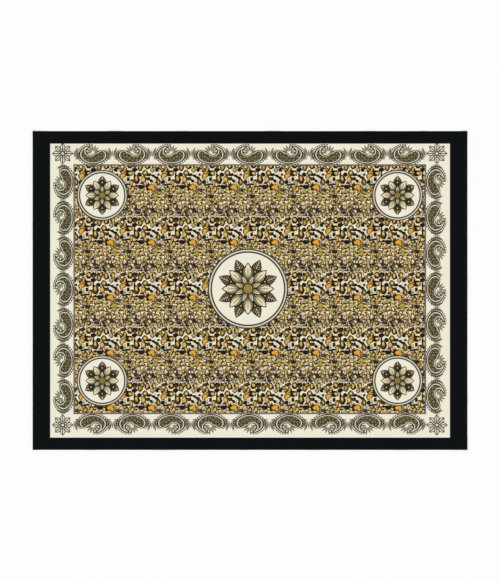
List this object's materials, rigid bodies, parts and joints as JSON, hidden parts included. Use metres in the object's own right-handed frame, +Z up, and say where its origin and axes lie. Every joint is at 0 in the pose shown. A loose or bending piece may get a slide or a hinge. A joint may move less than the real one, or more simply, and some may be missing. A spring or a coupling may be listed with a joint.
{
  "type": "kanga wrap cloth",
  "caption": "Rectangular printed cotton kanga cloth laid flat, with selvedges on its long edges and turned hems on its short ends, for wrapping and wearing.",
  "frame": {"origin": "on the surface that the cloth lies on, below the middle of the cloth", "axes": "+X along the selvedges, +Y across the cloth towards the top of the print, +Z up through the cloth"},
  "size_m": [1.5, 1.1, 0.0023],
  "materials": {
    "printed_cotton": "plain-woven cotton, printed with a black edge, a cream band, a leopard-spot ground and five ringed roundels",
    "hem_cotton": "plain-woven cotton, printed black, turned under twice and stitched"
  },
  "bodies": {
    "root": {"panel": "printed_cotton", "hem_left": "hem_cotton", "hem_right": "hem_cotton"}
  },
  "joints": []
}
